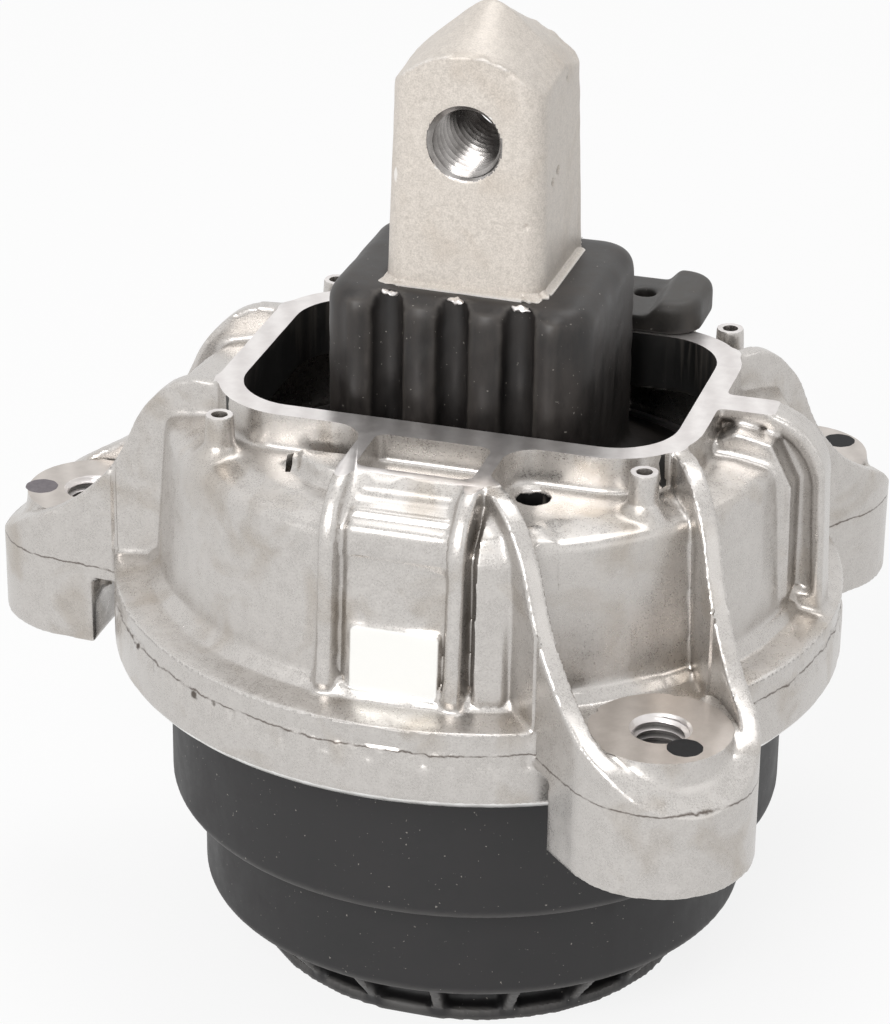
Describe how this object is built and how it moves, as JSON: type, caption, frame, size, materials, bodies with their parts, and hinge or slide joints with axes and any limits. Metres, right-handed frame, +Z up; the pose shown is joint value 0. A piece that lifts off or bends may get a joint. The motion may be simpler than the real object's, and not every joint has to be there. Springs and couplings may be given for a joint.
{
  "type": "engine mount",
  "caption": "Hydraulic engine mount: a cast housing with fastening ears over a stepped plastic cup, and a square post with a cross hole held in a fluted rubber block.",
  "frame": {"origin": "on the axis of the round body, at the flat base of the cup", "axes": "+Z up along the body's axis, the window's long side along X, one ear at -X, the picture's viewer on the -Y side"},
  "size_m": [0.1647, 0.155, 0.1865],
  "materials": {
    "cast_aluminium": "die cast, with flat faces machined bright",
    "post_aluminium": "die cast and blasted, fine speckle",
    "spring_rubber": "moulded natural rubber, dusty brown-black",
    "ring_steel": "deep drawn, plain",
    "plate_plastic": "moulded glass-filled nylon",
    "membrane_rubber": "moulded rubber disc",
    "bellows_rubber": "thin moulded rubber",
    "cup_plastic": "moulded glass-filled nylon, dusty black",
    "strip_rubber": "moulded rubber over a strip"
  },
  "bodies": {
    "root": {"housing": "cast_aluminium", "core_post": "post_aluminium", "rubber_spring": "spring_rubber", "spring_outer_ring": "ring_steel", "upper_channel_plate": "plate_plastic", "lower_channel_plate": "plate_plastic", "decoupler_membrane": "membrane_rubber", "rolling_bellows": "bellows_rubber", "bellows_ring": "plate_plastic", "lower_cup": "cup_plastic", "stop_strip": "strip_rubber"}
  },
  "joints": []
}
